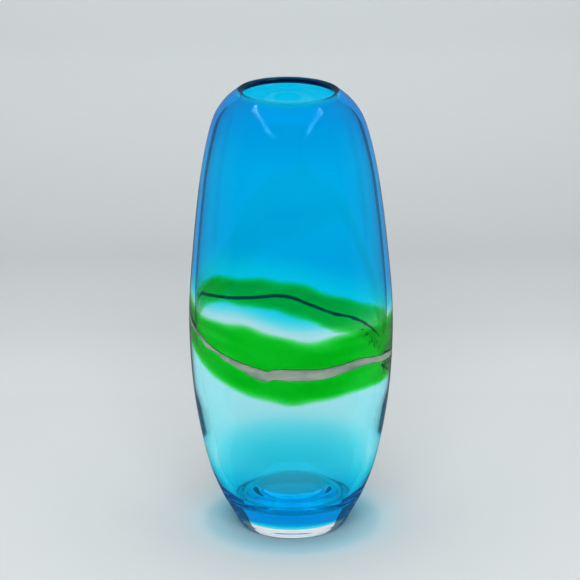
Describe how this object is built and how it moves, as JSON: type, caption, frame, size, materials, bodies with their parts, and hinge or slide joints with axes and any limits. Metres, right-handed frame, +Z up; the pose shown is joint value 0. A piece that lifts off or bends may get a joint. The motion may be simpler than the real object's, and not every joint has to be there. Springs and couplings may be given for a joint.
{
  "type": "blown glass vase",
  "caption": "Tall rounded vase of fused blue, green and turquoise glass, with a wound white trail, a rolled-in round mouth and a thick clear foot.",
  "frame": {"origin": "centre of the flat underside, which stands on the table", "axes": "+Z up along the vase's axis; the front, where the white trail is lowest and widest, faces -Y; +X to the right seen from the front"},
  "size_m": [0.135, 0.135, 0.3],
  "materials": {
    "clear_glass": "clear, fire polished, a few tiny seeds",
    "aqua_glass": "pale transparent aqua, polished",
    "blue_glass": "deep transparent sky blue, fading out downwards",
    "turquoise_glass": "transparent turquoise with darker blue streaks",
    "green_glass": "transparent green with soft wavy edges",
    "white_glass": "whitish enamel glass, slightly translucent",
    "dark_glass": "nearly black green glass",
    "fleck_glass": "black and silvery bits"
  },
  "bodies": {
    "root": {"clear_casing": "clear_glass", "inner_bubble": "aqua_glass", "upper_blue_overlay": "blue_glass", "lower_turquoise_overlay": "turquoise_glass", "green_ring": "green_glass", "white_trail": "white_glass", "dark_trail_edging": "dark_glass", "dark_flecks": "fleck_glass"}
  },
  "joints": []
}
